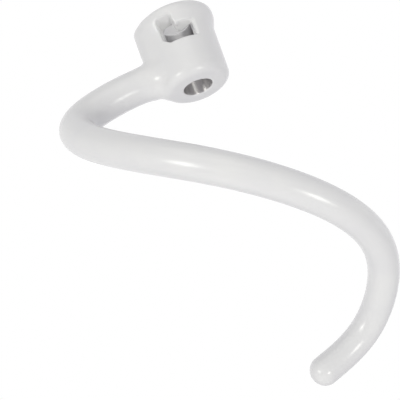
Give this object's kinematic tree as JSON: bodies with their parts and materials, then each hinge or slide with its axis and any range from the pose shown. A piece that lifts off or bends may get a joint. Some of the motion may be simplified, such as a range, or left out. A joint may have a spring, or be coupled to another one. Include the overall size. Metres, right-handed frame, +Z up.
{
  "type": "stand mixer spiral dough hook",
  "caption": "Coated cast spiral dough hook for a stand mixer: a hub with a shaft bore, pin lock window and keyway, and a tapering spiral arm.",
  "frame": {"origin": "on the axis of the shaft bore, at the seat on which the shaft's cross pin carries the hook", "axes": "+Z up along the shaft, out of the hub's top; the pin lock window faces -Y; the arm leaves the hub towards -X"},
  "size_m": [0.1111, 0.0799, 0.1757],
  "materials": {
    "coated_casting": "smooth glossy white coat on cast aluminium, bare in the bore"
  },
  "bodies": {
    "root": {"dough_hook": "coated_casting"}
  },
  "joints": []
}
